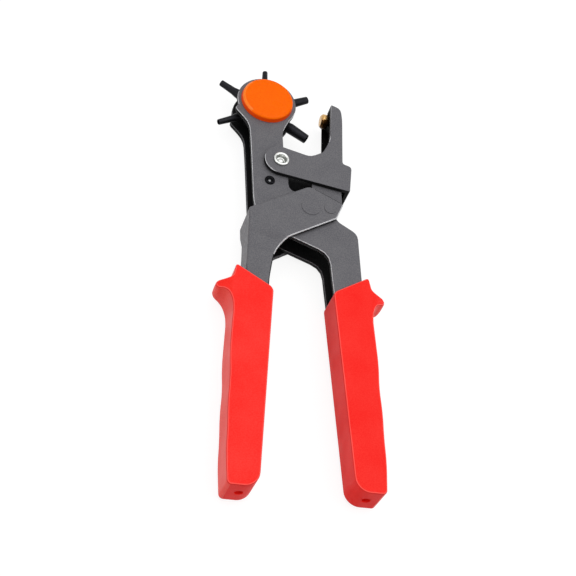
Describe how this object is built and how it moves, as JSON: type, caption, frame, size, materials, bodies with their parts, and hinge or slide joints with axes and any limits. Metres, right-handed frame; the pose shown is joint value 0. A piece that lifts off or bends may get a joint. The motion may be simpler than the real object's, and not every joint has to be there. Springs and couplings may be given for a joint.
{
  "type": "revolving leather punch",
  "caption": "Hand punch for leather: punch tubes on a turret, a brass anvil on a hinged jaw, and a compound lever between moulded grips.",
  "frame": {"origin": "middle of the underside, with the tool lying on its back", "axes": "+Y from the handles to the jaws, +Z out of the front, +X to the fixed handle's side"},
  "size_m": [0.08, 0.2312, 0.0213],
  "materials": {
    "grey_coat": "satin grey powder coat on stamped steel",
    "black_steel": "black oxide",
    "bright_steel": "bright zinc plate",
    "brass": "turned brass",
    "red_rubber": "moulded soft plastic",
    "orange_plastic": "moulded, lightly polished"
  },
  "bodies": {
    "frame": {"frame_front_plate": "grey_coat", "frame_rear_plate": "grey_coat", "handle_spacer_1": "black_steel", "handle_spacer_2": "black_steel", "index_spring": "bright_steel", "index_rivet": "black_steel", "index_spacer": "bright_steel", "turret_axle": "bright_steel", "turret_nut": "bright_steel", "turret_washer": "bright_steel", "turret_cap": "orange_plastic", "jaw_pivot_bolt": "bright_steel", "jaw_pivot_bush": "bright_steel", "lever_pivot_pin": "grey_coat", "lever_pivot_bush": "bright_steel", "return_spring": "bright_steel", "right_grip": "red_rubber"},
    "turret": {"turret_hub": "black_steel", "punch_tube_1": "black_steel", "punch_tube_2": "black_steel", "punch_tube_3": "black_steel", "punch_tube_4": "black_steel", "punch_tube_5": "black_steel", "punch_tube_6": "black_steel"},
    "jaw": {"anvil_jaw": "grey_coat", "anvil": "brass", "jaw_foot": "black_steel"},
    "lever": {"drive_lever": "grey_coat", "drive_pin": "grey_coat", "drive_sleeve": "bright_steel", "left_grip": "red_rubber"}
  },
  "joints": [
    {"name": "turret_spin", "type": "hinge", "parent": "frame", "child": "turret", "pos_m": [-0.01654, 0.08958, 0.01055], "axis": [0, 0, 1], "continuous": true},
    {"name": "lever_swing", "type": "hinge", "parent": "frame", "child": "lever", "pos_m": [0.00398, 0.02708, 0.01055], "axis": [0, 0, 1], "range_deg": [0, 12.5], "stiffness_Nm_per_rad": 0.6, "springref_deg": -8.59},
    {"name": "jaw_swing", "type": "hinge", "parent": "frame", "child": "jaw", "pos_m": [-0.01025, 0.05258, 0.01055], "axis": [0, 0, 1], "range_deg": [0, 5.01], "deforming": ["return_spring"]}
  ],
  "couplings": [
    {"joint": "jaw_swing", "follows": "lever_swing", "ratio": 0.40038}
  ]
}
